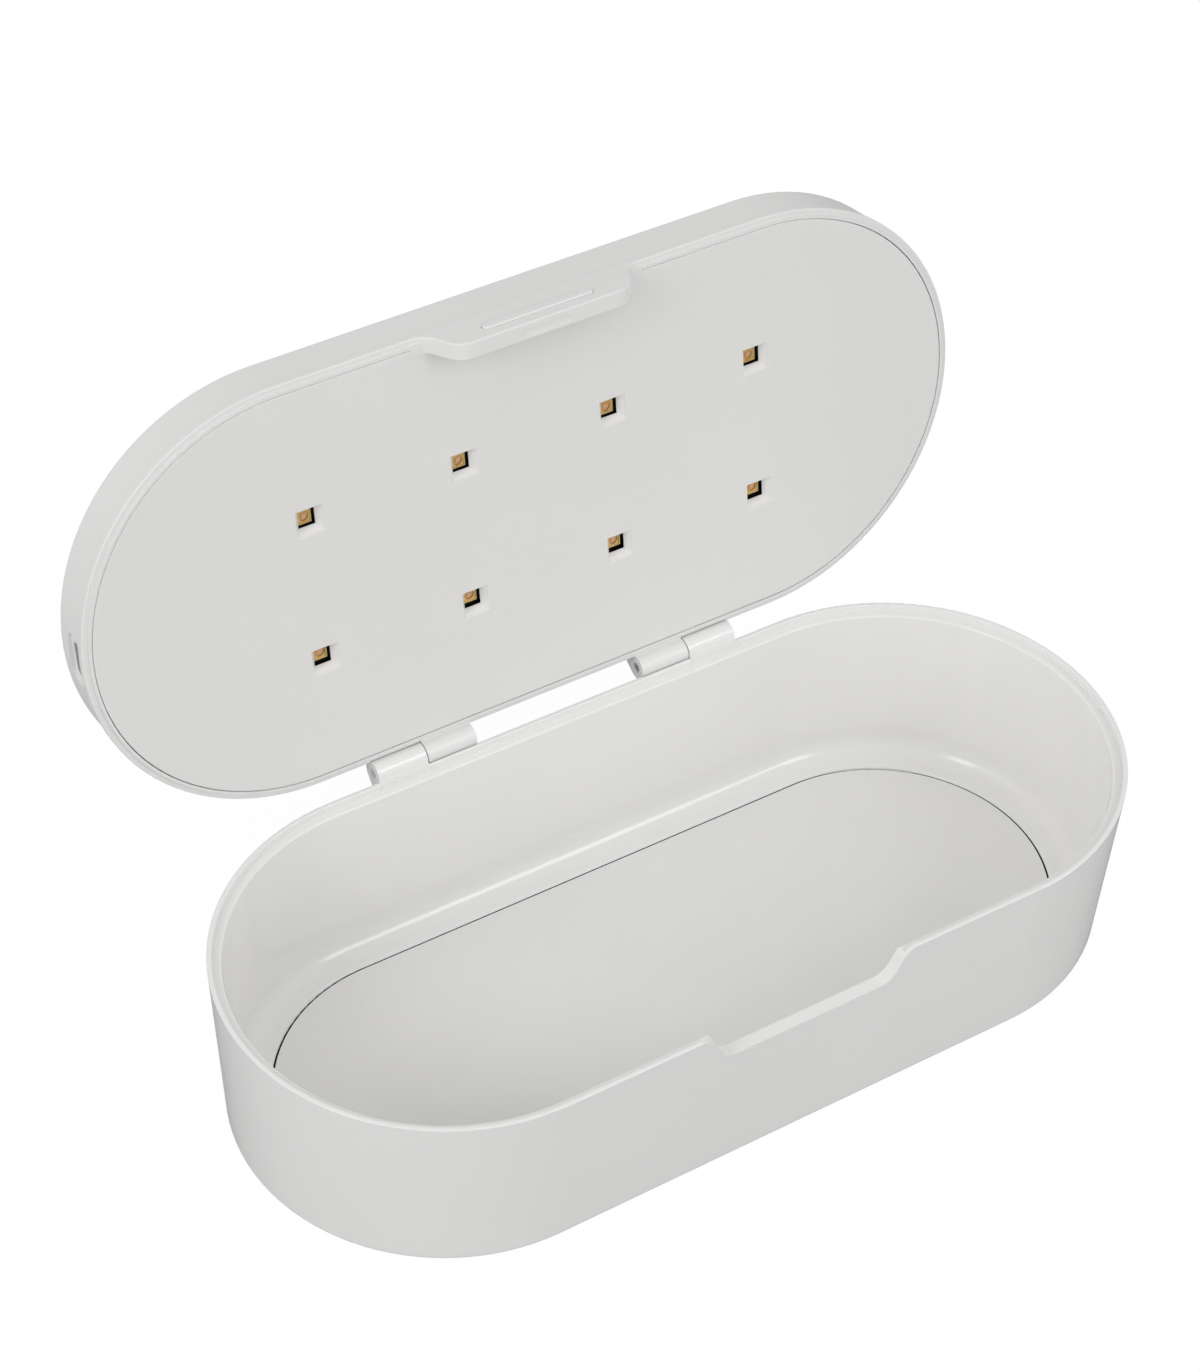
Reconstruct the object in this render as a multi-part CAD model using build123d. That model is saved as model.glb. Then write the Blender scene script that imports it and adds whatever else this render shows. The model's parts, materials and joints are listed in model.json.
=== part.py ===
from build123d import *
from math import atan2, cos, degrees, radians, sin
import os

# Outline of the closed box, in millimetres
BODY_LENGTH = 233.0
BODY_WIDTH = 107.0
BASE_HEIGHT = 47.0
LID_HEIGHT = 13.0
PARTING_GAP = 0.3
OPEN_ANGLE = 98.5

# Tub wall, rim and floor
BOTTOM_INSET = 2.3
BOTTOM_ROUND = 1.2
WALL = 3.2
LIP_WIDTH = 1.2
LIP_DEPTH = 1.8
LEDGE_ROUND = 0.6
LIP_ROUND = 0.3
FLOOR_TOP = 1.6
FLOOR_COVE = 5.0
PLATE_END_INSET = 13.4
PLATE_SIDE_INSET = 13.1
PLATE_THICKNESS = 0.8
PLATE_SEAT = 0.8
PLATE_GAP = 0.35
PLATE_EDGE_ROUND = 0.7

# Tab of the lid and its notch in the tub
TAB_DEPTH = 9.1
TAB_HALF_WIDTH = 22.2
TAB_SLOPE = 4.2
TAB_BEND = 5.0
TAB_SHOULDER = 30.2
TAB_THICKNESS = 4.3
TAB_BACK_ROUND = 0.4
TAB_FRONT_WALL = 1.0
TAB_COVER_THICKNESS = 0.9
TAB_COVER_LAP = 0.5
TAB_POCKET_LENGTH = 34.0
TAB_POCKET_HEIGHT = 5.4
TAB_POCKET_DROP = 4.4
BODY_CLEARANCE = 0.3

# Hinges
HINGE_OFFSET = 3.1
KNUCKLE_RADIUS = 3.2
LID_KNUCKLE_START = 23.4
KNUCKLE_LENGTH = 13.2
KNUCKLE_GAP = 0.45
PIN_RADIUS = 1.3
PIN_RUNNING_CLEARANCE = 0.05
PIN_LENGTH = 20.5
PIN_RECESS = 0.2
PIN_END_CHAMFER = 0.4
WEB_ANGLE = radians(42)
WEB_ROOT = 1.5

# Lid shell
RIM_BAND_HEIGHT = 1.6
RIM_BAND_PROUD = 0.4
RIM_OUTER_ROUND = 0.35
RIM_TOP_ROUND = 0.25
LID_DRAFT = 1.0
LID_TOP_ROUND = 1.2
LID_WALL = 2.2
LID_ROOF = 2.0
TONGUE_INSET = 1.5
TONGUE_DEPTH = 0.6
SEAT_RIB_HEIGHT = 1.5
SEAT_RIB_WIDTH = 1.4

# Panel with the lamp windows
PANEL_SEAM = 0.2
PANEL_THICKNESS = 2.0
PANEL_EDGE_ROUND = 0.3
LAMP_COLUMNS = 4
LAMP_ROWS = 2
LAMP_PITCH_X = 39.7
LAMP_PITCH_Y = 36.9
LAMP_OFFSET_X = 0.7
LAMP_OFFSET_Y = 1.2
WINDOW_PITCH_Y = 37.4
WINDOW_MOUTH = 7.0
WINDOW_THROAT = 4.2

# Lamps and their board
LAMP_SETBACK = 1.0
PACKAGE_SIDE = 3.5
PACKAGE_HEIGHT = 1.2
CUP_RADIUS = 1.25
CUP_DEPTH = 0.7
GLASS_SIDE = 3.0
GLASS_THICKNESS = 0.35
CHIP_SIDE = 1.0
CHIP_HEIGHT = 0.25
BOARD_MARGIN = 8.0
BOARD_THICKNESS = 1.2
BOARD_CORNER = 3.0
BOSS_RADIUS = 2.5
SCREW_RADIUS = 0.9
SCREW_HOLE_CLEARANCE = 0.2
SCREW_HEAD_RADIUS = 1.9
SCREW_HEAD_HEIGHT = 1.2
SCREW_BITE = 2.3
DRIVE_WIDTH = 0.6
DRIVE_LENGTH = 2.2
DRIVE_DEPTH = 0.6

# Charging socket in the left end wall
PORT_HEIGHT = 5.6
PORT_RECESS_LENGTH = 13.4
PORT_RECESS_WIDTH = 5.4
PORT_RECESS_DEPTH = 1.4
SOCKET_WIDTH = 8.94
SOCKET_HEIGHT = 3.26
SOCKET_WALL = 0.3
SOCKET_LENGTH = 7.4
SOCKET_CLEARANCE = 0.05
TONGUE_PLATE_WIDTH = 6.7
TONGUE_PLATE_HEIGHT = 0.7
TONGUE_PLATE_LENGTH = 4.8

# Control board and what is on it
CONTROL_LENGTH = 30.0
CONTROL_WIDTH = 30.0
CONTROL_START = 6.5
CONTROL_SCREW_INSET = 3.5
CONTROL_CHIP_SIDE = 5.0
CONTROL_CHIP_HEIGHT = 0.9
COIL_RADIUS = 3.0
COIL_HEIGHT = 2.6
COIL_WAIST = 2.0
CAPACITOR_RADIUS = 2.0
CAPACITOR_HEIGHT = 4.6

# Battery and leads
BATTERY_LENGTH = 60.0
BATTERY_WIDTH = 34.0
BATTERY_THICKNESS = 4.2
BATTERY_ROUND = 1.6
BATTERY_GAP = 4.5
TAPE_THICKNESS = 0.3
TAPE_MARGIN = 3.0
WIRE_RADIUS = 0.45
WIRE_PITCH = 1.4
WIRE_OVERLAP = 4.0
WIRE_BEND = 1.5
LED_LEAD_Y = 6.0
FLEX_WIDTH = 4.0
FLEX_THICKNESS = 0.3
FLEX_SIDE_Y = 20.0
FLEX_TAB_X = 12.0
FLEX_SLOT_MARGIN = 0.5

# Button, its switch and the magnets
BUTTON_LENGTH = 28.4
BUTTON_HEIGHT = 2.3
BUTTON_DROP = 5.15
BUTTON_PROUD = 0.5
BUTTON_ROUND = 0.35
BUTTON_CLEARANCE = 0.12
FLANGE_MARGIN = 0.5
FLANGE_THICKNESS = 0.5
DOME_RADIUS = 1.5
DOME_HEIGHT = 0.45
BUTTON_BOARD_THICKNESS = 0.5
BUTTON_BOARD_MARGIN = 0.3
SENSOR_LENGTH = 2.9
SENSOR_WIDTH = 1.6
SENSOR_HEIGHT = 0.45
SENSOR_OFFSET = 10.0
LID_MAGNET_LENGTH = 13.0
LID_MAGNET_WIDTH = 2.0
LID_MAGNET_THICKNESS = 1.0
LID_MAGNET_RECESS = 0.3
LID_MAGNET_FROM_BACK = 1.7
BASE_MAGNET_LENGTH = 12.0
BASE_MAGNET_WIDTH = 1.5
BASE_MAGNET_HEIGHT = 3.4
BASE_MAGNET_COVER = 1.0

# Heights and places that follow from the sizes above
FRONT_Y = -BODY_WIDTH / 2
TAB_BACK_Y = FRONT_Y + TAB_THICKNESS
LEFT_X = -BODY_LENGTH / 2
PLATE_LENGTH = BODY_LENGTH - 2 * PLATE_END_INSET
PLATE_WIDTH = BODY_WIDTH - 2 * PLATE_SIDE_INSET
DRAFT_ANGLE = degrees(atan2(BOTTOM_INSET, BASE_HEIGHT))
LID_RIM = BASE_HEIGHT + PARTING_GAP
LID_TOP = LID_RIM + LID_HEIGHT
LID_CEILING = LID_TOP - LID_ROOF
HINGE_Y = BODY_WIDTH / 2 + HINGE_OFFSET
HINGE_Z = BASE_HEIGHT + PARTING_GAP / 2
BASE_KNUCKLE_START = LID_KNUCKLE_START + KNUCKLE_LENGTH + BODY_CLEARANCE
PANEL_FACE = LID_RIM - TONGUE_DEPTH
PANEL_BACK = PANEL_FACE + PANEL_THICKNESS
PANEL_INSET = LID_WALL + PANEL_SEAM
LAMP_FACE = PANEL_BACK + LAMP_SETBACK
BOARD_FACE = LAMP_FACE + PACKAGE_HEIGHT
BOARD_BACK = BOARD_FACE + BOARD_THICKNESS
PORT_Z = LID_RIM + PORT_HEIGHT
PORT_FLOOR_X = LEFT_X + PORT_RECESS_DEPTH
CONTROL_FACE = PORT_Z + SOCKET_HEIGHT / 2
CONTROL_X = LEFT_X + CONTROL_START + CONTROL_LENGTH / 2
CONTROL_BACK = CONTROL_FACE + BOARD_THICKNESS
CONTROL_END_X = CONTROL_X + CONTROL_LENGTH / 2
BATTERY_START_X = CONTROL_END_X + BATTERY_GAP
BATTERY_TOP = LID_CEILING - TAPE_THICKNESS
TAB_POCKET_Z = LID_RIM - TAB_POCKET_DROP
TAB_COVER_FACE_Y = TAB_BACK_Y - TAB_COVER_THICKNESS
BUTTON_Z = LID_RIM - BUTTON_DROP
BUTTON_BOARD_Y = TAB_COVER_FACE_Y - BUTTON_BOARD_THICKNESS
TAB_POCKET_Y = FRONT_Y + TAB_FRONT_WALL
TAB_ROOT_TOP = PANEL_BACK + SEAT_RIB_HEIGHT
BAND_TOP = LID_RIM + RIM_BAND_HEIGHT
LID_MAGNET_Y = TAB_BACK_Y - LID_MAGNET_FROM_BACK


def lamp_places():
    """Places of the lamps, seen in plan."""
    return Pos(LAMP_OFFSET_X, LAMP_OFFSET_Y) * GridLocations(
        LAMP_PITCH_X, LAMP_PITCH_Y, LAMP_COLUMNS, LAMP_ROWS
    )


def window_places():
    """Places of the panel's windows, whose rows stand a little wider than the lamps."""
    return Pos(LAMP_OFFSET_X, LAMP_OFFSET_Y) * GridLocations(
        LAMP_PITCH_X, WINDOW_PITCH_Y, LAMP_COLUMNS, LAMP_ROWS
    )


def board_screw_places():
    """Places of the lamp board's screws, between the lamps."""
    return Pos(LAMP_OFFSET_X, LAMP_OFFSET_Y) * GridLocations(
        LAMP_PITCH_X, LAMP_PITCH_Y, LAMP_COLUMNS - 1, LAMP_ROWS
    )


def control_screw_places():
    """Places of the control board's screws, at its corners."""
    return Pos(CONTROL_X, 0) * GridLocations(
        CONTROL_LENGTH - 2 * CONTROL_SCREW_INSET, CONTROL_WIDTH - 2 * CONTROL_SCREW_INSET, 2, 2
    )


def outline(inset):
    """Plan of the box, set in by inset all round."""
    return SlotOverall(BODY_LENGTH - 2 * inset, BODY_WIDTH - 2 * inset)


def prism(inset, low, high, taper=0.0):
    """Plan of the box, raised from one height to another."""
    return Pos(0, 0, low) * extrude(outline(inset), high - low, taper=taper)


def side_edges(body, height):
    """The edges of a body that lie level at a height."""
    level = body.edges().filter_by(lambda e: abs(e.bounding_box().max.Z - height) < 0.01)
    return level.filter_by(lambda e: e.bounding_box().size.Z < 0.01)


def tab_prism(clearance, top, front, back):
    """Block with the tab's outline, from its lower edge up to top, grown by clearance."""
    low = LID_RIM - TAB_DEPTH
    corners = [
        (-TAB_HALF_WIDTH, low),
        (TAB_HALF_WIDTH, low),
        (TAB_HALF_WIDTH + TAB_SLOPE, LID_RIM),
        (TAB_SHOULDER, LID_RIM),
        (TAB_SHOULDER, top),
        (-TAB_SHOULDER, top),
        (-TAB_SHOULDER, LID_RIM),
        (-TAB_HALF_WIDTH - TAB_SLOPE, LID_RIM),
    ]
    face = make_face(Polyline(*corners, close=True))
    if clearance > 0:
        face = offset(face, clearance, kind=Kind.INTERSECTION)
    bends = face.vertices().filter_by(lambda v: abs(v.X) < TAB_SHOULDER - 0.01 and v.Y < LID_RIM + 0.01)
    face = fillet(bends, TAB_BEND)
    return extrude(Plane((0, back, 0), x_dir=(1, 0, 0), z_dir=(0, -1, 0)) * face, back - front)


def hinge_cylinder(radius, first, last):
    """Cylinder on the hinge axis between two distances from the middle, on the right."""
    middle = Pos((first + last) / 2, HINGE_Y, HINGE_Z)
    return middle * Rot(0, 90, 0) * Cylinder(radius, last - first)


def knuckle(first, side):
    """Hinge barrel with its web, on the right. Side is -1 for the tub and 1 for the lid."""
    tangent_y = HINGE_Y + KNUCKLE_RADIUS * cos(WEB_ANGLE)
    tangent_z = HINGE_Z + side * KNUCKLE_RADIUS * sin(WEB_ANGLE)
    root_y = BODY_WIDTH / 2 - WEB_ROOT
    reach = (tangent_y - root_y) / sin(WEB_ANGLE)
    corners = [
        (HINGE_Y, HINGE_Z),
        (tangent_y, tangent_z),
        (root_y, tangent_z + side * reach * cos(WEB_ANGLE)),
        (root_y, HINGE_Z + side * PARTING_GAP / 2),
    ]
    face = make_face(Polyline(*corners, close=True)) + Pos(HINGE_Y, HINGE_Z) * Circle(KNUCKLE_RADIUS)
    return extrude(Plane((first, 0, 0), x_dir=(0, 1, 0), z_dir=(1, 0, 0)) * face, KNUCKLE_LENGTH)


def both_sides(body):
    """A body on the right and its mirror image on the left."""
    return body + mirror(body, Plane.YZ)


def make_base_tub():
    """Tub in one moulding: drafted wall, stepped rim, notch, coved floor and outer knuckles."""
    tub = prism(BOTTOM_INSET, 0, BASE_HEIGHT, -DRAFT_ANGLE)
    tub = fillet(side_edges(tub, 0), BOTTOM_ROUND)
    floor_inset = WALL + BOTTOM_INSET * (1 - FLOOR_TOP / BASE_HEIGHT)
    hollow = prism(floor_inset, FLOOR_TOP, BASE_HEIGHT + LIP_DEPTH, -DRAFT_ANGLE)
    tub -= fillet(side_edges(hollow, FLOOR_TOP), FLOOR_COVE)
    tub -= prism(LIP_WIDTH, BASE_HEIGHT - LIP_DEPTH, BASE_HEIGHT + LIP_DEPTH)
    ledge = side_edges(tub, BASE_HEIGHT - LIP_DEPTH).filter_by(
        lambda e: max(abs(e.bounding_box().max.Y), abs(e.bounding_box().min.Y)) < BODY_WIDTH / 2 - WALL + 0.1
    )
    tub = fillet(ledge, LEDGE_ROUND)
    recess = SlotOverall(PLATE_LENGTH + 2 * PLATE_GAP, PLATE_WIDTH + 2 * PLATE_GAP)
    tub -= Pos(0, 0, PLATE_SEAT) * extrude(recess, FLOOR_TOP)
    recess_edges = side_edges(tub, FLOOR_TOP).filter_by(
        lambda e: e.bounding_box().max.Y < PLATE_WIDTH / 2 + 2 * PLATE_GAP
    )
    tub = fillet(recess_edges, PLATE_EDGE_ROUND)
    tub = fillet(side_edges(tub, BASE_HEIGHT), LIP_ROUND)
    tub += both_sides(knuckle(BASE_KNUCKLE_START, -1))
    tub -= both_sides(
        hinge_cylinder(PIN_RADIUS, BASE_KNUCKLE_START - 1, BASE_KNUCKLE_START + KNUCKLE_LENGTH + 1)
    )
    tub -= both_sides(
        hinge_cylinder(
            KNUCKLE_RADIUS + KNUCKLE_GAP,
            LID_KNUCKLE_START - BODY_CLEARANCE,
            LID_KNUCKLE_START + KNUCKLE_LENGTH + BODY_CLEARANCE,
        )
    )
    tub -= tab_prism(PARTING_GAP, LID_TOP, FRONT_Y - WALL, FRONT_Y + 2 * WALL)
    return tub - make_base_magnet()


def make_floor_plate():
    """Separate plate laid into the recess of the tub's floor."""
    plate = extrude(SlotOverall(PLATE_LENGTH, PLATE_WIDTH), PLATE_THICKNESS)
    return Pos(0, 0, PLATE_SEAT) * plate


def make_base_magnet():
    """Magnet moulded into the front wall, under the notch."""
    top = BASE_HEIGHT - TAB_DEPTH - BASE_MAGNET_COVER
    middle_y = FRONT_Y + BOTTOM_INSET * (1 - top / BASE_HEIGHT) + WALL / 2
    block = Box(BASE_MAGNET_LENGTH, BASE_MAGNET_WIDTH, BASE_MAGNET_HEIGHT)
    return Pos(0, middle_y, top - BASE_MAGNET_HEIGHT / 2) * block


def make_hinge_pin():
    """Right-hand hinge pin, pushed in from the inner end of the lid's knuckle."""
    first = LID_KNUCKLE_START + PIN_RECESS
    pin = hinge_cylinder(PIN_RADIUS, first, first + PIN_LENGTH)
    return chamfer(pin.edges().filter_by(GeomType.CIRCLE), PIN_END_CHAMFER)


def upright(width, height, middle_x, middle_z):
    """Pill outline standing across the box, centred at a place."""
    return Plane((middle_x, 0, middle_z), x_dir=(1, 0, 0), z_dir=(0, 1, 0)) * SlotOverall(width, height)


def block(x_range, y_range, z_range):
    """Rectangular block between pairs of coordinates."""
    sizes = [high - low for low, high in (x_range, y_range, z_range)]
    middle = [(high + low) / 2 for low, high in (x_range, y_range, z_range)]
    return Pos(*middle) * Box(*sizes)


def screw(grip):
    """Pan-head screw with its head's seat at the origin and its shank upwards, through grip."""
    head = Pos(0, 0, -SCREW_HEAD_HEIGHT / 2) * Cylinder(SCREW_HEAD_RADIUS, SCREW_HEAD_HEIGHT)
    head = chamfer(side_edges(head, -SCREW_HEAD_HEIGHT), SCREW_HEAD_HEIGHT / 3)
    cross = Box(DRIVE_LENGTH, DRIVE_WIDTH, DRIVE_DEPTH) + Box(DRIVE_WIDTH, DRIVE_LENGTH, DRIVE_DEPTH)
    head -= Pos(0, 0, DRIVE_DEPTH / 2 - SCREW_HEAD_HEIGHT) * cross
    shank = grip + SCREW_BITE
    return head + Pos(0, 0, shank / 2) * Cylinder(SCREW_RADIUS, shank)


def tab_moulding():
    """The tab with its rounded lower edges and its root above the rim."""
    tab = tab_prism(0, BAND_TOP - RIM_TOP_ROUND, FRONT_Y, TAB_BACK_Y)
    lower = tab.edges().filter_by(lambda e: e.bounding_box().max.Z < LID_RIM + RIM_BAND_HEIGHT / 4)
    front = lower.filter_by(lambda e: e.bounding_box().max.Y < FRONT_Y + 0.01)
    tab = fillet(front, RIM_OUTER_ROUND)
    lower = tab.edges().filter_by(lambda e: e.bounding_box().max.Z < LID_RIM + RIM_BAND_HEIGHT / 4)
    back = lower.filter_by(lambda e: e.bounding_box().min.Y > TAB_BACK_Y - 0.01)
    tab = fillet(back, TAB_BACK_ROUND)
    root_y = (FRONT_Y + TONGUE_INSET, TAB_BACK_Y)
    return tab + block((-TAB_SHOULDER, TAB_SHOULDER), root_y, (PANEL_FACE, TAB_ROOT_TOP))


def make_lid_shell():
    """Outer moulding of the lid: band, wall, roof, tongue, tab, knuckles and charging recess."""
    band = prism(0, LID_RIM, BAND_TOP)
    band = fillet(side_edges(band, LID_RIM), RIM_OUTER_ROUND)
    band = fillet(side_edges(band, BAND_TOP), RIM_TOP_ROUND)
    wall = prism(RIM_BAND_PROUD, LID_RIM + RIM_BAND_HEIGHT / 2, LID_TOP, LID_DRAFT)
    shell = band + fillet(side_edges(wall, LID_TOP), LID_TOP_ROUND)
    shell += prism(TONGUE_INSET, PANEL_FACE, BAND_TOP)
    shell -= prism(LID_WALL, PANEL_FACE, PANEL_BACK)
    shell -= prism(LID_WALL + SEAT_RIB_WIDTH, PANEL_FACE, TAB_ROOT_TOP)
    shell -= prism(LID_WALL + RIM_BAND_PROUD, TAB_ROOT_TOP, LID_CEILING)
    shell += tab_moulding()
    shell += both_sides(knuckle(LID_KNUCKLE_START, 1))
    shell -= both_sides(
        hinge_cylinder(
            PIN_RADIUS + PIN_RUNNING_CLEARANCE, LID_KNUCKLE_START - 1, BASE_KNUCKLE_START + 1
        )
    )
    shell -= both_sides(
        hinge_cylinder(
            KNUCKLE_RADIUS + KNUCKLE_GAP,
            BASE_KNUCKLE_START - BODY_CLEARANCE,
            BASE_KNUCKLE_START + KNUCKLE_LENGTH + BODY_CLEARANCE,
        )
    )
    end_plane = Plane((LEFT_X - 1, 0, PORT_Z), x_dir=(0, 1, 0), z_dir=(1, 0, 0))
    shell -= extrude(end_plane * SlotOverall(PORT_RECESS_LENGTH, PORT_RECESS_WIDTH), PORT_RECESS_DEPTH + 1)
    socket_hole = SlotOverall(SOCKET_WIDTH + 2 * SOCKET_CLEARANCE, SOCKET_HEIGHT + 2 * SOCKET_CLEARANCE)
    shell -= extrude(end_plane * socket_hole, SOCKET_LENGTH)
    for place in control_screw_places():
        boss_height = LID_CEILING - CONTROL_BACK
        boss = Cylinder(BOSS_RADIUS, boss_height) - Cylinder(SCREW_RADIUS, boss_height)
        shell += Pos(0, 0, CONTROL_BACK + boss_height / 2) * place * boss
    half = TAB_POCKET_LENGTH / 2
    low = TAB_POCKET_Z - TAB_POCKET_HEIGHT / 2
    high = TAB_POCKET_Z + TAB_POCKET_HEIGHT / 2
    shell -= block((-half, half), (TAB_POCKET_Y, TAB_COVER_FACE_Y), (low, high))
    shell -= make_tab_cover()
    slot = extrude(
        upright(BUTTON_LENGTH + 2 * BUTTON_CLEARANCE, BUTTON_HEIGHT + 2 * BUTTON_CLEARANCE, 0, BUTTON_Z),
        2 * TAB_FRONT_WALL,
    )
    shell -= Pos(0, FRONT_Y - TAB_FRONT_WALL / 2, 0) * slot
    flex_half = FLEX_WIDTH / 2 + FLEX_SLOT_MARGIN
    shell -= block(
        (-FLEX_TAB_X - flex_half, -FLEX_TAB_X + flex_half),
        (BUTTON_BOARD_Y - FLEX_SLOT_MARGIN, TAB_COVER_FACE_Y),
        (TAB_POCKET_Z, TAB_ROOT_TOP),
    )
    magnet_hole = SlotOverall(LID_MAGNET_LENGTH, LID_MAGNET_WIDTH)
    magnet_depth = LID_MAGNET_RECESS + LID_MAGNET_THICKNESS
    shell -= Pos(0, LID_MAGNET_Y, LID_RIM - TAB_DEPTH) * extrude(magnet_hole, magnet_depth)
    return shell


def make_tab_cover():
    """Plate that closes the pocket in the back of the tab."""
    half = TAB_POCKET_LENGTH / 2 + TAB_COVER_LAP
    rise = TAB_POCKET_HEIGHT / 2 + TAB_COVER_LAP
    return block((-half, half), (TAB_COVER_FACE_Y, TAB_BACK_Y), (TAB_POCKET_Z - rise, TAB_POCKET_Z + rise))


def make_lid_magnet():
    """Pill-shaped magnet set into the underside of the tab."""
    magnet = extrude(SlotOverall(LID_MAGNET_LENGTH, LID_MAGNET_WIDTH), LID_MAGNET_THICKNESS)
    return Pos(0, LID_MAGNET_Y, LID_RIM - TAB_DEPTH + LID_MAGNET_RECESS) * magnet


def make_power_button():
    """Pill-shaped button with the flange that keeps it in the tab."""
    body = extrude(upright(BUTTON_LENGTH, BUTTON_HEIGHT, 0, BUTTON_Z), BUTTON_PROUD + TAB_FRONT_WALL + BODY_CLEARANCE)
    body = Pos(0, FRONT_Y - BUTTON_PROUD, 0) * body
    crown = body.edges().filter_by(lambda e: e.bounding_box().max.Y < FRONT_Y - BUTTON_PROUD / 2)
    body = fillet(crown, BUTTON_ROUND)
    flange = upright(BUTTON_LENGTH + 2 * FLANGE_MARGIN, BUTTON_HEIGHT + 2 * FLANGE_MARGIN, 0, BUTTON_Z)
    return body + Pos(0, TAB_POCKET_Y + BODY_CLEARANCE, 0) * extrude(flange, FLANGE_THICKNESS)


def make_button_board():
    """Small board that carries the switch and the sensor."""
    half = TAB_POCKET_LENGTH / 2 - BUTTON_BOARD_MARGIN
    rise = TAB_POCKET_HEIGHT / 2 - BUTTON_BOARD_MARGIN
    return block(
        (-half, half), (BUTTON_BOARD_Y, TAB_COVER_FACE_Y), (TAB_POCKET_Z - rise, TAB_POCKET_Z + rise)
    )


def make_dome_switch():
    """Snap dome under the middle of the button."""
    dome = Cylinder(DOME_RADIUS, DOME_HEIGHT)
    dome = chamfer(side_edges(dome, DOME_HEIGHT / 2), DOME_HEIGHT / 2, DOME_HEIGHT * 2)
    return Pos(0, BUTTON_BOARD_Y - DOME_HEIGHT / 2, BUTTON_Z) * Rot(90, 0, 0) * dome


def make_hall_sensor():
    """Sensor that feels the tub's magnet and puts the lamps out when the lid is up."""
    low = TAB_POCKET_Z - TAB_POCKET_HEIGHT / 2 + BUTTON_BOARD_MARGIN
    return block(
        (SENSOR_OFFSET, SENSOR_OFFSET + SENSOR_LENGTH),
        (BUTTON_BOARD_Y - SENSOR_HEIGHT, BUTTON_BOARD_Y),
        (low, low + SENSOR_WIDTH),
    )


def make_led_panel():
    """Inner panel of the lid, with tapered lamp windows and bosses for the lamp board."""
    panel = prism(PANEL_INSET, PANEL_FACE, PANEL_BACK)
    panel = fillet(side_edges(panel, PANEL_FACE), PANEL_EDGE_ROUND)
    panel -= block((-TAB_SHOULDER, TAB_SHOULDER), (FRONT_Y, TAB_BACK_Y), (PANEL_FACE, PANEL_BACK))
    flare = degrees(atan2((WINDOW_MOUTH - WINDOW_THROAT) / 2, PANEL_THICKNESS))
    window = extrude(Rectangle(WINDOW_MOUTH, WINDOW_MOUTH), PANEL_THICKNESS, taper=flare)
    for place in window_places():
        panel -= Pos(0, 0, PANEL_FACE) * place * window
    for place in board_screw_places():
        panel += Pos(0, 0, PANEL_BACK) * place * extrude(Circle(BOSS_RADIUS), BOARD_FACE - PANEL_BACK)
        panel -= Pos(0, 0, BOARD_FACE - SCREW_BITE) * place * extrude(Circle(SCREW_RADIUS), SCREW_BITE)
    return panel


def make_led_board():
    """Black board that carries the lamps."""
    length = LAMP_PITCH_X * (LAMP_COLUMNS - 1) + 2 * BOARD_MARGIN
    width = LAMP_PITCH_Y * (LAMP_ROWS - 1) + 2 * BOARD_MARGIN
    board = extrude(RectangleRounded(length, width, BOARD_CORNER), BOARD_THICKNESS)
    board = Pos(LAMP_OFFSET_X, LAMP_OFFSET_Y, BOARD_FACE) * board
    for place in board_screw_places():
        hole = extrude(Circle(SCREW_RADIUS + SCREW_HOLE_CLEARANCE), BOARD_THICKNESS)
        board -= Pos(0, 0, BOARD_FACE) * place * hole
    return board


def at_lamps(piece, height):
    """Copies of a piece at every lamp, as separate solids."""
    return Compound(children=[Pos(0, 0, height) * place * piece for place in lamp_places()])


def make_led_packages():
    """Square ceramic lamp packages, each with a seat for its glass and a round cup."""
    package = extrude(Rectangle(PACKAGE_SIDE, PACKAGE_SIDE), PACKAGE_HEIGHT)
    package -= extrude(Rectangle(GLASS_SIDE, GLASS_SIDE), GLASS_THICKNESS)
    package -= extrude(Circle(CUP_RADIUS), CUP_DEPTH)
    return at_lamps(package, LAMP_FACE)


def make_led_glass():
    """Quartz windows that close the lamps' cups."""
    return at_lamps(extrude(Rectangle(GLASS_SIDE, GLASS_SIDE), GLASS_THICKNESS), LAMP_FACE)


def make_led_chips():
    """Lamp chips on the floors of the cups."""
    chip = extrude(Rectangle(CHIP_SIDE, CHIP_SIDE), CHIP_HEIGHT)
    return at_lamps(chip, LAMP_FACE + CUP_DEPTH - CHIP_HEIGHT)


def make_board_screws():
    """Screws of the lamp board, driven down into the panel's bosses."""
    one = Pos(0, 0, BOARD_BACK) * Rot(180, 0, 0) * screw(BOARD_THICKNESS)
    return Compound(children=[place * one for place in board_screw_places()])


def make_control_board():
    """Board for charging and for driving the lamps."""
    middle = Pos(CONTROL_X, 0, CONTROL_FACE)
    board = middle * extrude(RectangleRounded(CONTROL_LENGTH, CONTROL_WIDTH, BOARD_CORNER), BOARD_THICKNESS)
    for place in control_screw_places():
        hole = extrude(Circle(SCREW_RADIUS + SCREW_HOLE_CLEARANCE), BOARD_THICKNESS)
        board -= Pos(0, 0, CONTROL_FACE) * place * hole
    return board


def make_control_screws():
    """Screws of the control board, driven up into the roof's bosses."""
    one = Pos(0, 0, CONTROL_FACE) * screw(BOARD_THICKNESS)
    return Compound(children=[place * one for place in control_screw_places()])


def make_control_chip():
    """Charging chip under the control board."""
    chip = Pos(CONTROL_X, 0, CONTROL_FACE - CONTROL_CHIP_HEIGHT)
    return chip * extrude(Rectangle(CONTROL_CHIP_SIDE, CONTROL_CHIP_SIDE), CONTROL_CHIP_HEIGHT)


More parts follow.
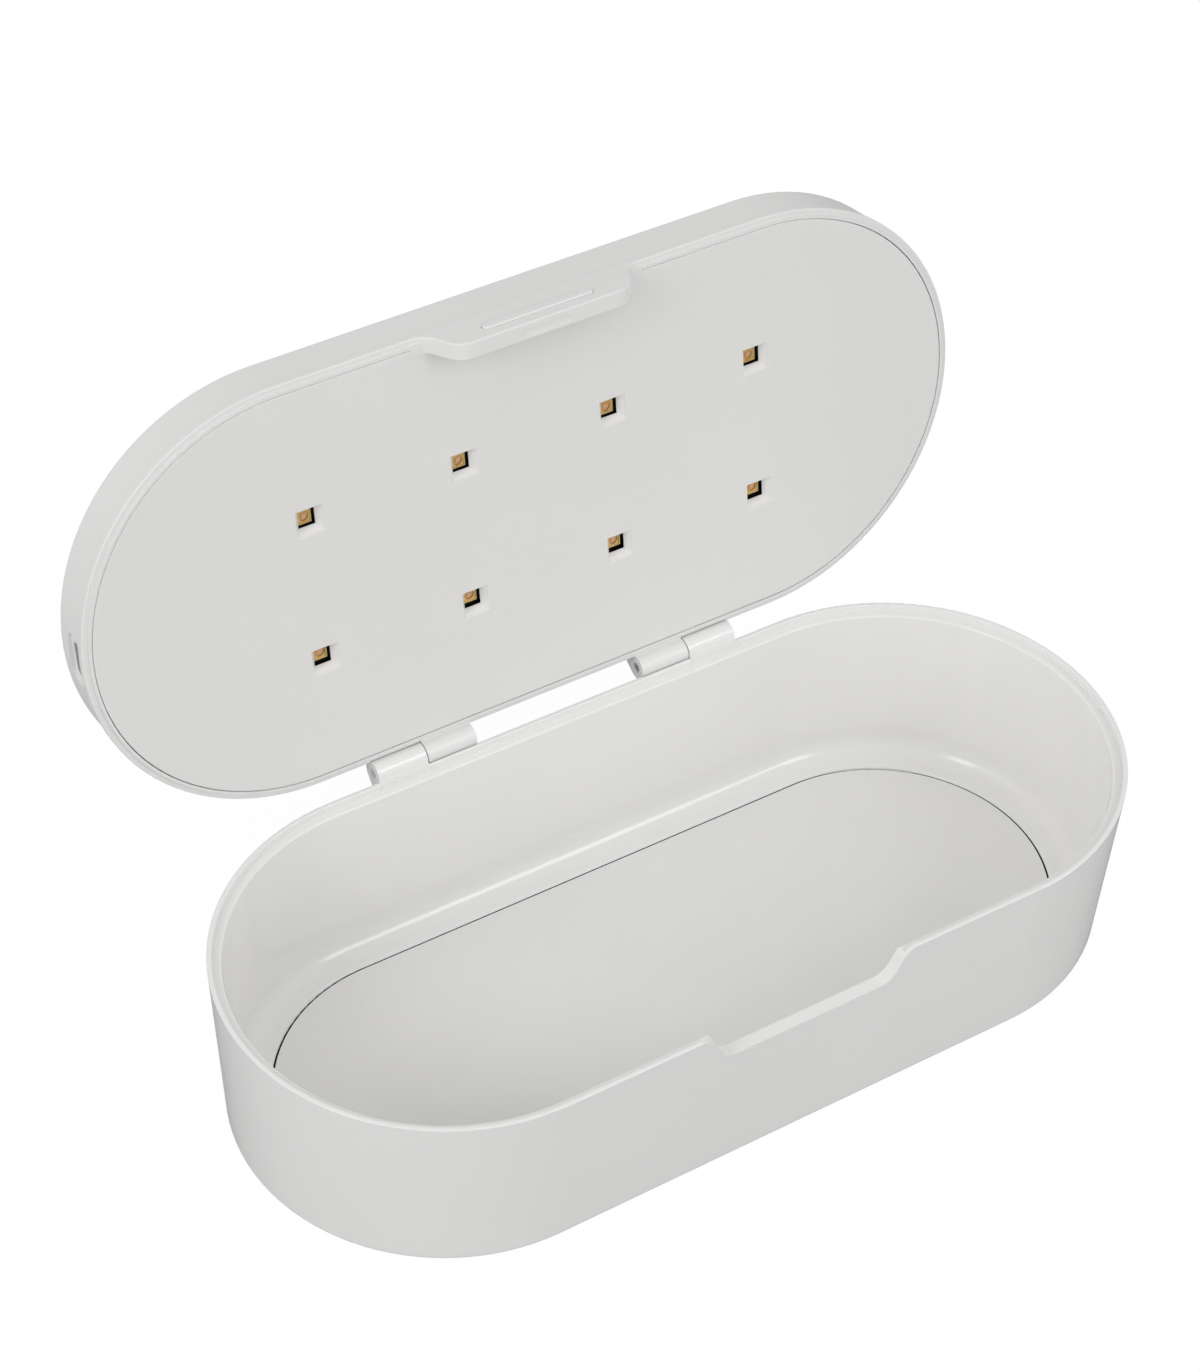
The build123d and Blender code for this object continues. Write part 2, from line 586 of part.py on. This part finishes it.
def make_boost_coil():
    """Drum coil of the boost converter, waisted where the wire is wound."""
    drum = Cylinder(COIL_RADIUS, COIL_HEIGHT)
    waist = Cylinder(COIL_RADIUS, COIL_HEIGHT / 2) - Cylinder(COIL_WAIST, COIL_HEIGHT / 2)
    return Pos(CONTROL_X + CONTROL_LENGTH / 4, 0, CONTROL_FACE - COIL_HEIGHT / 2) * (drum - waist)


def make_charge_capacitor():
    """Can capacitor beside the coil."""
    can = Cylinder(CAPACITOR_RADIUS, CAPACITOR_HEIGHT)
    can = chamfer(side_edges(can, -CAPACITOR_HEIGHT / 2), CAPACITOR_RADIUS / 4)
    return Pos(CONTROL_X, CONTROL_WIDTH / 4, CONTROL_FACE - CAPACITOR_HEIGHT / 2) * can


def make_usb_socket():
    """Charging socket: a pill-shaped metal shell, open to the left and closed behind."""
    mouth = Plane((PORT_FLOOR_X, 0, PORT_Z), x_dir=(0, 1, 0), z_dir=(1, 0, 0))
    shell = extrude(mouth * SlotOverall(SOCKET_WIDTH, SOCKET_HEIGHT), SOCKET_LENGTH)
    inside = SlotOverall(SOCKET_WIDTH - 2 * SOCKET_WALL, SOCKET_HEIGHT - 2 * SOCKET_WALL)
    return shell - extrude(mouth * inside, SOCKET_LENGTH - SOCKET_WALL)


def make_usb_tongue():
    """Contact tongue that stands in the middle of the socket."""
    back = PORT_FLOOR_X + SOCKET_LENGTH - SOCKET_WALL
    half = TONGUE_PLATE_WIDTH / 2
    rise = TONGUE_PLATE_HEIGHT / 2
    return block((back - TONGUE_PLATE_LENGTH, back), (-half, half), (PORT_Z - rise, PORT_Z + rise))


def make_battery():
    """Flat pouch cell under the roof of the lid."""
    cell = Box(BATTERY_LENGTH, BATTERY_WIDTH, BATTERY_THICKNESS)
    cell = fillet(cell.edges().filter_by(Axis.X), BATTERY_ROUND)
    return Pos(BATTERY_START_X + BATTERY_LENGTH / 2, 0, BATTERY_TOP - BATTERY_THICKNESS / 2) * cell


def make_battery_tape():
    """Sticky pad between the cell and the roof."""
    pad = Box(BATTERY_LENGTH - 2 * TAPE_MARGIN, BATTERY_WIDTH - 2 * TAPE_MARGIN, TAPE_THICKNESS)
    return Pos(BATTERY_START_X + BATTERY_LENGTH / 2, 0, BATTERY_TOP + TAPE_THICKNESS / 2) * pad


def wire_pair(middle_y, *points):
    """Two round wires side by side that follow the same bent line."""
    wires = []
    for y in (middle_y - WIRE_PITCH / 2, middle_y + WIRE_PITCH / 2):
        path = FilletPolyline(*[(x, y, z) for x, z in points], radius=WIRE_BEND)
        wires.append(sweep((path ^ 0) * Circle(WIRE_RADIUS), path=path))
    return Compound(children=wires)


def make_battery_lead():
    """Two short wires from the cell to the back of the control board."""
    height = CONTROL_BACK + WIRE_RADIUS
    start = CONTROL_END_X - WIRE_OVERLAP
    wire = Rot(0, 90, 0) * Cylinder(WIRE_RADIUS, BATTERY_START_X - start)
    middle_x = (BATTERY_START_X + start) / 2
    return Compound(
        children=[Pos(middle_x, side * WIRE_PITCH / 2, height) * wire for side in (-1, 1)]
    )


def make_led_lead():
    """Two wires from the control board down to the lamp board, under the cell."""
    upper = CONTROL_FACE - WIRE_RADIUS
    lower = BOARD_BACK + WIRE_RADIUS
    board_end_x = LAMP_OFFSET_X - LAMP_PITCH_X * (LAMP_COLUMNS - 1) / 2 - BOARD_MARGIN
    return wire_pair(
        LED_LEAD_Y,
        (CONTROL_END_X - WIRE_OVERLAP, upper),
        (CONTROL_END_X, upper),
        (BATTERY_START_X, lower),
        (max(board_end_x, BATTERY_START_X) + WIRE_OVERLAP, lower),
    )


def make_button_lead():
    """Flat lead from the control board, along the front of the cell and down into the tab."""
    high = CONTROL_FACE
    low = CONTROL_FACE - FLEX_THICKNESS
    start_x = (CONTROL_X - FLEX_WIDTH / 2, CONTROL_X + FLEX_WIDTH / 2)
    tab_x = (-FLEX_TAB_X - FLEX_WIDTH / 2, -FLEX_TAB_X + FLEX_WIDTH / 2)
    drop_y = (BUTTON_BOARD_Y - FLEX_THICKNESS, BUTTON_BOARD_Y)
    lead = block(start_x, (-FLEX_SIDE_Y - FLEX_WIDTH, FLEX_WIDTH - CONTROL_WIDTH / 2), (low, high))
    lead += block((start_x[0], tab_x[1]), (-FLEX_SIDE_Y - FLEX_WIDTH, -FLEX_SIDE_Y), (low, high))
    lead += block(tab_x, (drop_y[0], -FLEX_SIDE_Y), (low, high))
    return lead + block(tab_x, drop_y, (TAB_POCKET_Z, high))


def opened(body):
    """A piece of the lid, turned from shut to open about the hinge axis."""
    return body.rotate(Axis((0, HINGE_Y, HINGE_Z), (1, 0, 0)), -OPEN_ANGLE)


BASE_PIECES = {
    "base_tub": make_base_tub(),
    "floor_plate": make_floor_plate(),
    "base_magnet": make_base_magnet(),
    "hinge_pin_right": make_hinge_pin(),
    "hinge_pin_left": mirror(make_hinge_pin(), Plane.YZ),
}

LID_PIECES = {
    "lid_shell": make_lid_shell(),
    "tab_cover": make_tab_cover(),
    "lid_magnet": make_lid_magnet(),
    "power_button": make_power_button(),
    "button_board": make_button_board(),
    "dome_switch": make_dome_switch(),
    "hall_sensor": make_hall_sensor(),
    "led_panel": make_led_panel(),
    "led_board": make_led_board(),
    "led_packages": make_led_packages(),
    "led_glass": make_led_glass(),
    "led_chips": make_led_chips(),
    "board_screws": make_board_screws(),
    "control_board": make_control_board(),
    "control_screws": make_control_screws(),
    "control_chip": make_control_chip(),
    "boost_coil": make_boost_coil(),
    "charge_capacitor": make_charge_capacitor(),
    "usb_socket": make_usb_socket(),
    "usb_tongue": make_usb_tongue(),
    "battery": make_battery(),
    "battery_tape": make_battery_tape(),
    "battery_lead": make_battery_lead(),
    "led_lead": make_led_lead(),
    "button_lead": make_button_lead(),
}

os.makedirs("parts", exist_ok=True)
for name, piece in BASE_PIECES.items():
    export_step(piece, f"parts/{name}.step")
for name, piece in LID_PIECES.items():
    export_step(opened(piece), f"parts/{name}.step")
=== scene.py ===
import json
import math

import bmesh
import bpy
from mathutils import Matrix, Vector


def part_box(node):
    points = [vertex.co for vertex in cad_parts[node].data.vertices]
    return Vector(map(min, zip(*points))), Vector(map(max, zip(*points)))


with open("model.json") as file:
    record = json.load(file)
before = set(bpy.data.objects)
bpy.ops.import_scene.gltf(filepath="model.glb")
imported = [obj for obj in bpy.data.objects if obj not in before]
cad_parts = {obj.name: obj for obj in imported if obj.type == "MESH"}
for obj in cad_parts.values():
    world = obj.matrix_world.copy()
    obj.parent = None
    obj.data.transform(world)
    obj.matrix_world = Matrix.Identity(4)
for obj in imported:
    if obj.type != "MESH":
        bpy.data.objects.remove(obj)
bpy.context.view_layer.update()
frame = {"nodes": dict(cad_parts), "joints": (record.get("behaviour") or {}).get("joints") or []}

# The camera stands to the front left of the box and looks down into the open tub.
# Its place and lens were fitted to the outline of the box in the photograph.
camera_place = Vector((-0.32989, -0.46084, 0.61882))
camera_aim = Vector((0.40593, 0.61255, -0.67824)).normalized()
camera_up = Vector((0.34133, 0.58681, 0.73427))
camera_right = camera_aim.cross(camera_up).normalized()
camera_up = camera_right.cross(camera_aim)
camera_data = bpy.data.cameras.new("product_camera")
camera_data.sensor_width = 36.0
camera_data.lens = 91.216
camera_data.clip_start = 0.05
camera_data.clip_end = 20.0
camera = bpy.data.objects.new("product_camera", camera_data)
camera.matrix_world = Matrix(
    (
        (camera_right.x, camera_up.x, -camera_aim.x, camera_place.x),
        (camera_right.y, camera_up.y, -camera_aim.y, camera_place.y),
        (camera_right.z, camera_up.z, -camera_aim.z, camera_place.z),
        (0, 0, 0, 1),
    )
)
bpy.context.scene.collection.objects.link(camera)
bpy.context.scene.camera = camera
bpy.context.scene.view_settings.view_transform = "Standard"

# White studio: an even dome of light that is weaker from above and behind, four soft boxes that leave
# the highlights on the tub's cove and end wall, and a white floor that takes a faint shadow.
dim_side = (0, 0.75, 0.66)
dome_bright = 0.83
dome_dim = 0.52
world = bpy.data.worlds.new("studio_dome")
bpy.context.scene.world = world
world.use_nodes = True
dome = world.node_tree.nodes
dome_links = world.node_tree.links
dome.clear()
dome_out = dome.new("ShaderNodeOutputWorld")
dome_mix = dome.new("ShaderNodeMixShader")
dome_light = dome.new("ShaderNodeBackground")
dome_seen = dome.new("ShaderNodeBackground")
dome_ray = dome.new("ShaderNodeLightPath")
dome_place = dome.new("ShaderNodeTexCoord")
dome_back = dome.new("ShaderNodeVectorMath")
dome_back.operation = "DOT_PRODUCT"
dome_back.inputs[1].default_value = dim_side
dome_fall = dome.new("ShaderNodeMapRange")
dome_fall.inputs["To Min"].default_value = dome_bright
dome_fall.inputs["To Max"].default_value = dome_dim
dome_light.inputs["Color"].default_value = (1, 1, 1, 1)
dome_seen.inputs["Color"].default_value = (1, 1, 1, 1)
dome_seen.inputs["Strength"].default_value = 1.0
dome_links.new(dome_place.outputs["Generated"], dome_back.inputs[0])
dome_links.new(dome_back.outputs["Value"], dome_fall.inputs["Value"])
dome_links.new(dome_fall.outputs["Result"], dome_light.inputs["Strength"])
dome_links.new(dome_ray.outputs["Is Camera Ray"], dome_mix.inputs[0])
dome_links.new(dome_light.outputs[0], dome_mix.inputs[1])
dome_links.new(dome_seen.outputs[0], dome_mix.inputs[2])
dome_links.new(dome_mix.outputs[0], dome_out.inputs["Surface"])

light_aim = Vector((0, 0, 0.05))


def soft_box(name, place, width, height, power):
    data = bpy.data.lights.new(name, "AREA")
    data.shape = "RECTANGLE"
    data.size = width
    data.size_y = height
    data.energy = power
    light = bpy.data.objects.new(name, data)
    light.location = place
    light.rotation_mode = "QUATERNION"
    light.rotation_quaternion = (light_aim - Vector(place)).to_track_quat("-Z", "Y")
    bpy.context.scene.collection.objects.link(light)


soft_box("key_box", (0.73, -1.36, 1.2), width=0.46, height=0.7, power=4.0)
soft_box("front_box", (-0.5, -1.8, 0.5), width=1.0, height=0.8, power=1.0)
soft_box("left_box", (-1.42, -0.42, 1.05), width=0.38, height=0.8, power=4.5)
soft_box("side_box", (-1.7, 0.2, 0.8), width=1.0, height=1.0, power=2.8)


def new_material(name):
    material = bpy.data.materials.new(name)
    material.use_nodes = True
    return material, material.node_tree.nodes, material.node_tree.links


def reckon(material, operation, first, second=0.0):
    node = material.node_tree.nodes.new("ShaderNodeMath")
    node.operation = operation
    for slot, value in zip(node.inputs, (first, second)):
        if isinstance(value, bpy.types.NodeSocket):
            material.node_tree.links.new(value, slot)
        else:
            slot.default_value = value
    return node.outputs[0]


floor_half = 6.0
floor_drop = 0.0002
floor_glow_strength = 1.09
floor_glow_share = 0.87
floor_mesh = bpy.data.meshes.new("studio_floor")
floor_build = bmesh.new()
bmesh.ops.create_grid(floor_build, x_segments=1, y_segments=1, size=floor_half)
bmesh.ops.translate(floor_build, vec=(0, 0, -floor_drop), verts=floor_build.verts)
floor_build.to_mesh(floor_mesh)
floor_build.free()
studio_floor = bpy.data.objects.new("studio_floor", floor_mesh)
bpy.context.scene.collection.objects.link(studio_floor)
floor_paint, floor_nodes, floor_links = new_material("floor_white")
floor_nodes.clear()
floor_out = floor_nodes.new("ShaderNodeOutputMaterial")
floor_matt = floor_nodes.new("ShaderNodeBsdfDiffuse")
floor_glow = floor_nodes.new("ShaderNodeEmission")
floor_mix = floor_nodes.new("ShaderNodeMixShader")
floor_ray = floor_nodes.new("ShaderNodeLightPath")
floor_matt.inputs["Color"].default_value = (0.5, 0.5, 0.5, 1)
floor_glow.inputs["Color"].default_value = (1, 1, 1, 1)
floor_glow.inputs["Strength"].default_value = floor_glow_strength
floor_share = reckon(floor_paint, "MULTIPLY", floor_ray.outputs["Is Camera Ray"], floor_glow_share)
floor_links.new(floor_share, floor_mix.inputs[0])
floor_links.new(floor_matt.outputs[0], floor_mix.inputs[1])
floor_links.new(floor_glow.outputs[0], floor_mix.inputs[2])
floor_links.new(floor_mix.outputs[0], floor_out.inputs["Surface"])
floor_mesh.materials.append(floor_paint)


# The tub is one injection moulding in white satin plastic, with a stepped rim, a notch for the
# lid's tab, a coved floor and the two outer barrels of the hinges.
def dress(node, material):
    mesh = frame["nodes"][node].data
    mesh.materials.clear()
    mesh.materials.append(material)


def moulded_plastic(name, pale, deep, roughness):
    gloss_spread = 0.04
    skin_depth = 0.00004
    material, nodes, links = new_material(name)
    shader = nodes["Principled BSDF"]
    place = nodes.new("ShaderNodeTexCoord")
    cloud = nodes.new("ShaderNodeTexNoise")
    cloud.inputs["Scale"].default_value = 14.0
    cloud.inputs["Detail"].default_value = 3.0
    tint = nodes.new("ShaderNodeValToRGB")
    tint.color_ramp.elements[0].position = 0.35
    tint.color_ramp.elements[0].color = (*deep, 1)
    tint.color_ramp.elements[1].position = 0.65
    tint.color_ramp.elements[1].color = (*pale, 1)
    wear = nodes.new("ShaderNodeTexNoise")
    wear.inputs["Scale"].default_value = 60.0
    wear.inputs["Detail"].default_value = 4.0
    gloss = nodes.new("ShaderNodeMapRange")
    gloss.inputs["To Min"].default_value = roughness - gloss_spread
    gloss.inputs["To Max"].default_value = roughness + gloss_spread
    skin = nodes.new("ShaderNodeTexNoise")
    skin.inputs["Scale"].default_value = 2600.0
    skin.inputs["Detail"].default_value = 2.0
    bump = nodes.new("ShaderNodeBump")
    bump.inputs["Strength"].default_value = 0.06
    bump.inputs["Distance"].default_value = skin_depth
    for texture in (cloud, wear, skin):
        links.new(place.outputs["Object"], texture.inputs["Vector"])
    links.new(cloud.outputs["Fac"], tint.inputs["Fac"])
    links.new(tint.outputs["Color"], shader.inputs["Base Color"])
    links.new(wear.outputs["Fac"], gloss.inputs["Value"])
    links.new(gloss.outputs["Result"], shader.inputs["Roughness"])
    links.new(skin.outputs["Fac"], bump.inputs["Height"])
    links.new(bump.outputs["Normal"], shader.inputs["Normal"])
    return material


tub_white = moulded_plastic("tub_white_plastic", (0.88, 0.875, 0.867), (0.865, 0.86, 0.852), 0.13)
dress("base_tub", tub_white)

# The seam round the floor plate is painted as a dark line of painted shade all round it. The painted
# shade fills the gap between the plate and the tub's recess and just laps the plate's rim. It is
# painted on by the distance from the plate's middle line, so that the line stays even round both ends.
seam_shade_black = (0.03, 0.028, 0.026)
seam_shade_past_rim = 0.00046
seam_shade_on_rim = 0.0001
height_slack = 0.0001
plate_low, plate_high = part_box("floor_plate")
plate_straight = plate_high[0] - plate_high[1]
plate_reach = plate_high[1]


def paint_over(material, share, colour):
    nodes = material.node_tree.nodes
    links = material.node_tree.links
    base = nodes["Principled BSDF"].inputs["Base Color"]
    paint = nodes.new("ShaderNodeMix")
    paint.data_type = "RGBA"
    paint.inputs["B"].default_value = (*colour, 1)
    links.new(share, paint.inputs["Factor"])
    links.new(base.links[0].from_socket, paint.inputs["A"])
    links.new(paint.outputs["Result"], base)


# Paints the seam's dark shade into a material's colour, by distance from the plate's middle line.
def paint_seam_shade(material, start):
    nodes = material.node_tree.nodes
    links = material.node_tree.links
    place = nodes.new("ShaderNodeTexCoord")
    split = nodes.new("ShaderNodeSeparateXYZ")
    flat = nodes.new("ShaderNodeCombineXYZ")
    reach = nodes.new("ShaderNodeVectorMath")
    reach.operation = "LENGTH"
    links.new(place.outputs["Object"], split.inputs[0])
    along = reckon(material, "ABSOLUTE", split.outputs["X"])
    past_straight = reckon(material, "SUBTRACT", along, plate_straight)
    links.new(reckon(material, "MAXIMUM", past_straight, 0.0), flat.inputs["X"])
    links.new(split.outputs["Y"], flat.inputs["Y"])
    links.new(flat.outputs[0], reach.inputs[0])
    share = reckon(material, "GREATER_THAN", reach.outputs["Value"], start)
    for value, operation, limit in (
        (reach.outputs["Value"], "LESS_THAN", plate_reach + seam_shade_past_rim),
        (split.outputs["Z"], "GREATER_THAN", plate_low[2] - height_slack),
        (split.outputs["Z"], "LESS_THAN", plate_high[2] + height_slack),
    ):
        share = reckon(material, "MULTIPLY", share, reckon(material, operation, value, limit))
    paint_over(material, share, seam_shade_black)


# Painted seam shade on the tub's side of the gap.
paint_seam_shade(tub_white, start=0.0)

# The floor plate is a thin flat moulding in the same plastic, glued into the recess of the tub's
# floor. It is a little less glossy than the tub.
floor_white = moulded_plastic("floor_white_plastic", (0.83, 0.825, 0.817), (0.8, 0.795, 0.787), 0.2)
# Painted seam shade on the plate's rim.
paint_seam_shade(floor_white, start=plate_reach - seam_shade_on_rim)
dress("floor_plate", floor_white)


# The magnet under the notch is sintered metal plated with nickel, and the hinge pins are drawn steel.
# All three are pressed into the tub.
def drawn_metal(name, colour, roughness, stretch=(1, 1, 1), metallic=1.0):
    gloss_spread = 0.08
    dull = 0.82
    material, nodes, links = new_material(name)
    shader = nodes["Principled BSDF"]
    shader.inputs["Metallic"].default_value = metallic
    place = nodes.new("ShaderNodeTexCoord")
    turn = nodes.new("ShaderNodeMapping")
    turn.inputs["Scale"].default_value = stretch
    lines = nodes.new("ShaderNodeTexNoise")
    lines.inputs["Scale"].default_value = 1800.0
    lines.inputs["Detail"].default_value = 3.0
    tint = nodes.new("ShaderNodeValToRGB")
    tint.color_ramp.elements[0].color = tuple(dull * c for c in colour) + (1,)
    tint.color_ramp.elements[1].color = (*colour, 1)
    gloss = nodes.new("ShaderNodeMapRange")
    gloss.inputs["To Min"].default_value = roughness - gloss_spread
    gloss.inputs["To Max"].default_value = roughness + gloss_spread
    links.new(place.outputs["Object"], turn.inputs["Vector"])
    links.new(turn.outputs["Vector"], lines.inputs["Vector"])
    links.new(lines.outputs["Fac"], tint.inputs["Fac"])
    links.new(tint.outputs["Color"], shader.inputs["Base Color"])
    links.new(lines.outputs["Fac"], gloss.inputs["Value"])
    links.new(gloss.outputs["Result"], shader.inputs["Roughness"])
    return material


dress("base_magnet", drawn_metal("magnet_nickel", (0.62, 0.61, 0.58), 0.35))
along_pin = (0.05, 1, 1)
pin_steel = drawn_metal("pin_steel", (0.52, 0.52, 0.52), 0.38, along_pin)
dress("hinge_pin_right", pin_steel)
dress("hinge_pin_left", pin_steel)

# The lid's outer shell is one moulding with the rounded rim, the front tab, the inner barrels of
# the hinges and the recess round the charging socket. A plate closes the back of the tab.
lid_pale = (0.84, 0.835, 0.827)
lid_deep = (0.825, 0.82, 0.812)
lid_white = moulded_plastic("lid_white_plastic", lid_pale, lid_deep, 0.3)
dress("lid_shell", lid_white)
dress("tab_cover", lid_white)

# The magnet in the underside of the tab is a flat pill, glued into its recess. It is lacquered white,
# so that it hardly shows.
magnet_white = moulded_plastic("magnet_lacquer", (0.85, 0.845, 0.837), (0.835, 0.83, 0.822), 0.35)
dress("lid_magnet", magnet_white)

# The button is a slim pill, moulded in the lid's plastic. It stands a little proud of the tab and
# slides in its slot, against the snap dome.
dress("power_button", moulded_plastic("button_white_plastic", lid_pale, lid_deep, 0.28))

# The inner panel is a flat moulding with a finer, more matt skin, and carries the lamps' windows.
# It is thin enough to let a little light through, which softens the windows' edges.
panel_white = moulded_plastic("panel_white_plastic", lid_pale, lid_deep, 0.42)
panel_shader = panel_white.node_tree.nodes["Principled BSDF"]
light_travel = 0.0008
panel_shader.inputs["Subsurface Weight"].default_value = 0.4
panel_shader.inputs["Subsurface Radius"].default_value = (1, 1, 1)
panel_shader.inputs["Subsurface Scale"].default_value = light_travel
dress("led_panel", panel_white)

# The windows' tapers are painted a shade lighter: painted light that stands in for the light bounced
# between their walls. They are painted by their depth in the lid, which stands open by the whole range
# of its hinge.
taper_painted_light = (0.89, 0.885, 0.877)
taper_start = 0.0004
lid_hinge = next(joint for joint in frame["joints"] if joint["name"] == "lid_hinge")
lid_angle = math.radians(lid_hinge["range_deg"][1])
lid_inward = Vector((0, math.sin(lid_angle), math.cos(lid_angle)))


def lid_depths(node):
    return [lid_inward.dot(vertex.co) for vertex in frame["nodes"][node].data.vertices]


def paint_by_depth(material, start, colour):
    nodes = material.node_tree.nodes
    links = material.node_tree.links
    place = nodes.new("ShaderNodeTexCoord")
    depth = nodes.new("ShaderNodeVectorMath")
    depth.operation = "DOT_PRODUCT"
    depth.inputs[1].default_value = lid_inward
    links.new(place.outputs["Object"], depth.inputs[0])
    paint_over(material, reckon(material, "GREATER_THAN", depth.outputs["Value"], start), colour)


# Painted light on the windows' tapers, by depth.
paint_by_depth(panel_white, min(lid_depths("led_panel")) + taper_start, taper_painted_light)


# The boards are glass fibre with copper tracks under a lacquer, black on the lamps' board and green
# on the two small ones. Screws hold the two larger boards.
def board_lacquer(name, colour, track):
    material, nodes, links = new_material(name)
    shader = nodes["Principled BSDF"]
    shader.inputs["Roughness"].default_value = 0.35
    place = nodes.new("ShaderNodeTexCoord")
    lines = nodes.new("ShaderNodeTexVoronoi")
    lines.feature = "DISTANCE_TO_EDGE"
    lines.inputs["Scale"].default_value = 260.0
    tint = nodes.new("ShaderNodeValToRGB")
    tint.color_ramp.elements[0].position = 0.05
    tint.color_ramp.elements[0].color = (*track, 1)
    tint.color_ramp.elements[1].position = 0.09
    tint.color_ramp.elements[1].color = (*colour, 1)
    links.new(place.outputs["Object"], lines.inputs["Vector"])
    links.new(lines.outputs["Distance"], tint.inputs["Fac"])
    links.new(tint.outputs["Color"], shader.inputs["Base Color"])
    return material


board_black = board_lacquer("board_black_lacquer", (0.012, 0.012, 0.012), (0.02, 0.019, 0.017))
dress("led_board", board_black)
board_green = board_lacquer("board_green_lacquer", (0.02, 0.16, 0.07), (0.035, 0.23, 0.1))
dress("button_board", board_green)
dress("control_board", board_green)

# The lamps are gold-plated ceramic cups, soldered to their board, with a chip on the floor of each.
# The wall and floor of each cup are painted by depth: the wall starts behind the quartz window, and
# the floor is level with the chip's foot.
lamp_metallic = 0.2
cup_brown = (0.42, 0.22, 0.06)
cup_floor = (0.85, 0.52, 0.22)
past_window = 0.00003
before_floor = 0.00001
lamp_gold = drawn_metal("lamp_gold", (1.0, 0.74, 0.3), 0.45, metallic=lamp_metallic)
paint_by_depth(lamp_gold, max(lid_depths("led_glass")) + past_window, cup_brown)
paint_by_depth(lamp_gold, max(lid_depths("led_chips")) - before_floor, cup_floor)
dress("led_packages", lamp_gold)
dress("led_chips", drawn_metal("lamp_chip", (0.95, 0.6, 0.36), 0.4, metallic=lamp_metallic))

# The lamps' windows are thin plates of clear quartz that lie on ledges in the cups. Their back faces
# don't reflect, so that the cups behind them stay bright.
quartz, quartz_nodes, quartz_links = new_material("lamp_quartz")
quartz_nodes.clear()
quartz_out = quartz_nodes.new("ShaderNodeOutputMaterial")
quartz_mix = quartz_nodes.new("ShaderNodeMixShader")
quartz_clear = quartz_nodes.new("ShaderNodeBsdfTransparent")
quartz_gloss = quartz_nodes.new("ShaderNodeBsdfGlossy")
quartz_edge = quartz_nodes.new("ShaderNodeFresnel")
quartz_side = quartz_nodes.new("ShaderNodeNewGeometry")
quartz_gloss.inputs["Roughness"].default_value = 0.05
quartz_edge.inputs["IOR"].default_value = 1.3
quartz_front = reckon(quartz, "SUBTRACT", 1.0, quartz_side.outputs["Backfacing"])
quartz_share = reckon(quartz, "MULTIPLY", quartz_front, quartz_edge.outputs[0])
quartz_links.new(quartz_share, quartz_mix.inputs[0])
quartz_links.new(quartz_clear.outputs[0], quartz_mix.inputs[1])
quartz_links.new(quartz_gloss.outputs[0], quartz_mix.inputs[2])
quartz_links.new(quartz_mix.outputs[0], quartz_out.inputs["Surface"])
dress("led_glass", quartz)

# The screws of the two larger boards are zinc-plated steel, and so is the snap dome that is soldered
# to the button's board.
screw_zinc = drawn_metal("screw_zinc", (0.6, 0.6, 0.6), 0.35)
dress("board_screws", screw_zinc)
dress("control_screws", screw_zinc)
dress("dome_switch", screw_zinc)


# The sensor in the tab and the control chip are black epoxy mouldings, soldered to their boards. The
# epoxy has a fine speckle.
def speckled(name, colour, roughness, scale):
    dark = 0.8
    material, nodes, links = new_material(name)
    shader = nodes["Principled BSDF"]
    shader.inputs["Roughness"].default_value = roughness
    place = nodes.new("ShaderNodeTexCoord")
    dots = nodes.new("ShaderNodeTexNoise")
    dots.inputs["Scale"].default_value = scale
    dots.inputs["Detail"].default_value = 4.0
    tint = nodes.new("ShaderNodeValToRGB")
    tint.color_ramp.elements[0].color = tuple(dark * c for c in colour) + (1,)
    tint.color_ramp.elements[1].color = (*colour, 1)
    links.new(place.outputs["Object"], dots.inputs["Vector"])
    links.new(dots.outputs["Fac"], tint.inputs["Fac"])
    links.new(tint.outputs["Color"], shader.inputs["Base Color"])
    return material


chip_black = speckled("chip_black", (0.02, 0.02, 0.02), 0.5, scale=1500)
dress("hall_sensor", chip_black)
dress("control_chip", chip_black)

# The coil has a pressed ferrite body and the capacitor a drawn aluminium can. Both are soldered to the
# control board.
dress("boost_coil", speckled("coil_ferrite", (0.08, 0.08, 0.085), 0.6, scale=900))
dress("charge_capacitor", drawn_metal("can_aluminium", (0.75, 0.75, 0.76), 0.3))

# The charging socket is a folded steel shell plated with nickel, with a grey plastic tongue for its
# contacts. It is soldered to the end of the control board.
along_shell = (0.1, 1, 1)
dress("usb_socket", drawn_metal("socket_nickel", (0.85, 0.85, 0.84), 0.4, along_shell, metallic=0.4))
dress("usb_tongue", speckled("tongue_grey", (0.1, 0.1, 0.1), 0.5, scale=1500))

# The cell is a flat pouch of laminated foil. Foam tape holds it to the lid.
dress("battery", speckled("cell_foil", (0.55, 0.56, 0.57), 0.35, scale=120))
dress("battery_tape", speckled("tape_foam", (0.7, 0.7, 0.68), 0.8, scale=700))

# The leads join the cell, the lamps and the button to the control board. The cell's is red, the lamps'
# is black, and the button's is an amber film.
dress("battery_lead", speckled("lead_red", (0.35, 0.02, 0.015), 0.4, scale=500))
dress("led_lead", speckled("lead_black", (0.02, 0.02, 0.02), 0.4, scale=500))
dress("button_lead", speckled("flex_amber", (0.42, 0.2, 0.03), 0.35, scale=400))
